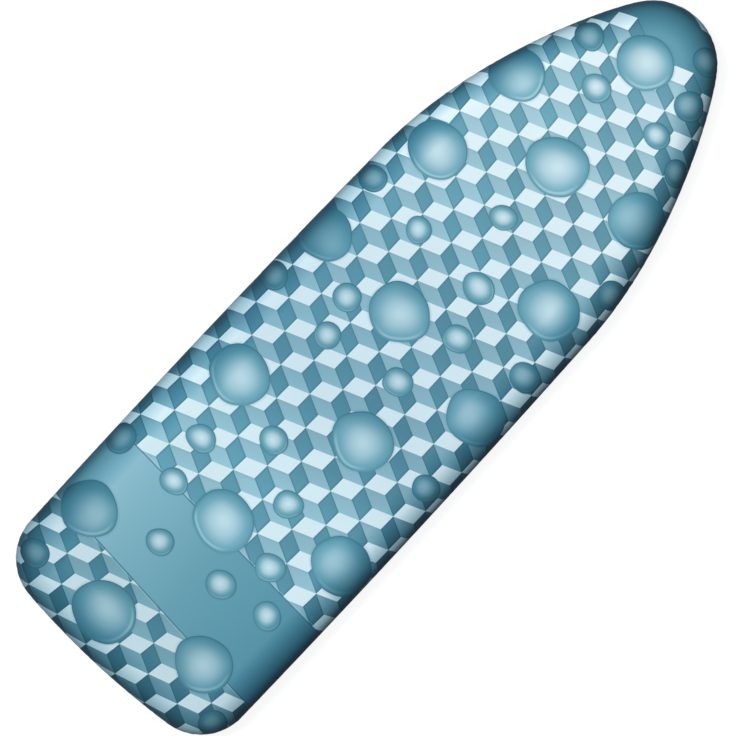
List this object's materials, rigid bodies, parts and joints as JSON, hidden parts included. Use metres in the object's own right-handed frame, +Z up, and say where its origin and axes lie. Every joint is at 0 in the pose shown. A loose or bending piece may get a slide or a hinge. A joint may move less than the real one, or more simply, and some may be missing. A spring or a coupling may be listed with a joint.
{
  "type": "ironing board cover",
  "caption": "Fitted padded cover for an ironing board, with soft rounded edges, a drawcord hem with a cord lock, and hook-and-loop straps underneath.",
  "frame": {"origin": "middle of the length and width, on the surface that the hem's casing rests on", "axes": "+X towards the nose, +Y to the left side, +Z up through the ironing surface"},
  "size_m": [1.224, 0.4038, 0.0426],
  "materials": {
    "printed_cotton": "matte woven cotton with a blue block print",
    "foam": "open-cell foam, matte",
    "felt": "needled felt, matte",
    "hem_tape": "gathered cotton tape, matte",
    "cord": "braided polyester",
    "plastic": "fine satin",
    "spring_steel": "bright wire",
    "strap": "woven elastic webbing",
    "hook_pad": "moulded nylon hooks",
    "loop_pad": "brushed nylon loops"
  },
  "bodies": {
    "root": {"top_cover": "printed_cotton", "foam_pad": "foam", "felt_underlay": "felt", "hem_casing": "hem_tape", "drawcord": "cord", "cord_end": "plastic", "rear_strap_loop_half": "strap", "rear_strap_loop_pad": "loop_pad", "middle_strap_loop_half": "strap", "middle_strap_loop_pad": "loop_pad", "front_strap_loop_half": "strap", "front_strap_loop_pad": "loop_pad"},
    "cord_lock": {"cord_lock_body": "plastic", "cord_lock_spring": "spring_steel"},
    "lock_button": {"cord_lock_button": "plastic"},
    "rear_strap": {"rear_strap_hook_half": "strap", "rear_strap_hook_pad": "hook_pad"},
    "middle_strap": {"middle_strap_hook_half": "strap", "middle_strap_hook_pad": "hook_pad"},
    "front_strap": {"front_strap_hook_half": "strap", "front_strap_hook_pad": "hook_pad"}
  },
  "joints": [
    {"name": "cord_lock_slide", "type": "slide", "parent": "root", "child": "cord_lock", "axis": [1, 0, 0], "range_m": [0, 0.022]},
    {"name": "button_press", "type": "slide", "parent": "cord_lock", "child": "lock_button", "axis": [0, -1, 0], "range_m": [0, 0.004], "stiffness_N_per_m": 300, "deforming": ["cord_lock_spring"]},
    {"name": "rear_strap_peel", "type": "hinge", "parent": "root", "child": "rear_strap", "pos_m": [-0.3366, 0.13677, 0.002], "axis": [1, 0, 0], "range_deg": [0, 90]},
    {"name": "middle_strap_peel", "type": "hinge", "parent": "root", "child": "middle_strap", "pos_m": [-0.0612, 0.13551, 0.002], "axis": [1, 0, 0], "range_deg": [0, 90]},
    {"name": "front_strap_peel", "type": "hinge", "parent": "root", "child": "front_strap", "pos_m": [0.2142, 0.12826, 0.002], "axis": [1, 0, 0], "range_deg": [0, 90]}
  ]
}
